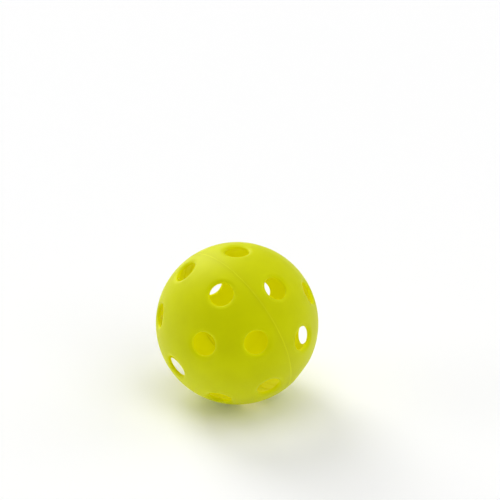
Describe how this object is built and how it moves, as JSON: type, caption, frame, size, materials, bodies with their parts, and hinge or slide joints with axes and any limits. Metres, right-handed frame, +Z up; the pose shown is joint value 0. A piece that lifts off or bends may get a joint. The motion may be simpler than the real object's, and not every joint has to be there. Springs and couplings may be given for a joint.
{
  "type": "pickleball ball",
  "caption": "Hollow perforated plastic ball made of two moulded half shells joined by a weld bead inside the seam, for pickleball.",
  "frame": {"origin": "centre of the ball", "axes": "+Z is up and runs through one hole of the right half's outer ring. The poles of the two half shells lie in the XZ plane: the right half's pole looks along +X, tilted 17.5 degrees up, and the left half's pole looks along -X, tilted 17.5 degrees down. -Y is the front."},
  "size_m": [0.074, 0.074, 0.0734],
  "materials": {
    "shell_plastic": "satin yellow-green polyethylene, slightly translucent",
    "weld_plastic": "remelted yellow-green polyethylene, smooth"
  },
  "bodies": {
    "root": {"left_half_shell": "shell_plastic", "right_half_shell": "shell_plastic", "weld_bead": "weld_plastic"}
  },
  "joints": []
}
